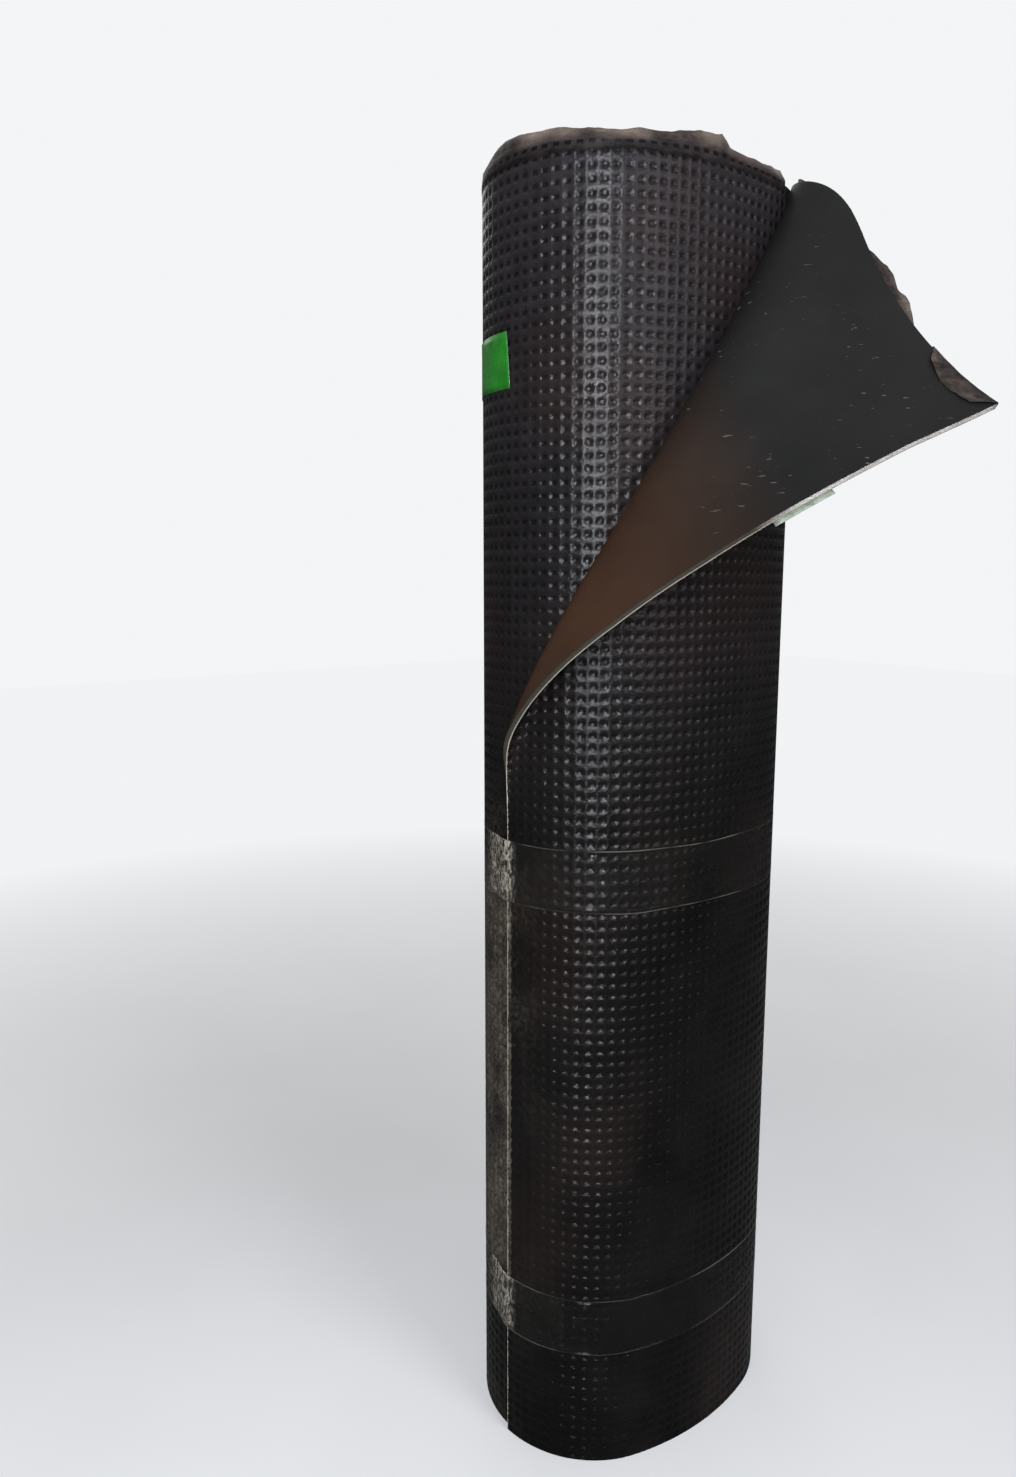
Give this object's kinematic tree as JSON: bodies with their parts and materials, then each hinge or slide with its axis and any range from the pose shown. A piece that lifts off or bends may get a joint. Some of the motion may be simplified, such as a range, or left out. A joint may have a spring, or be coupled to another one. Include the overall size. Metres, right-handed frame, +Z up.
{
  "type": "roll of roofing felt",
  "caption": "Upright roll of black bitumen roofing felt, wound to a sagged oval with an open bore, one corner of its outer turn peeled back, held by tapes.",
  "frame": {"origin": "on the floor, on the axis of the roll, at the lower mouth of its bore", "axes": "+Z up along the axis the sheet is wound on; X the long way across the oval; the peeled flap hangs towards -Y"},
  "size_m": [0.2812, 0.3549, 1.013],
  "materials": {
    "bitumen_felt": "black embossed bitumen under a thin glossy film",
    "clear_tape": "clear glossy packing tape",
    "green_tape": "green adhesive tape",
    "surface_film": "thin translucent film, ruffled"
  },
  "bodies": {
    "root": {"felt_roll": "bitumen_felt", "middle_clear_tape": "clear_tape", "lower_clear_tape": "clear_tape", "green_tape": "green_tape", "surface_film": "surface_film"}
  },
  "joints": []
}
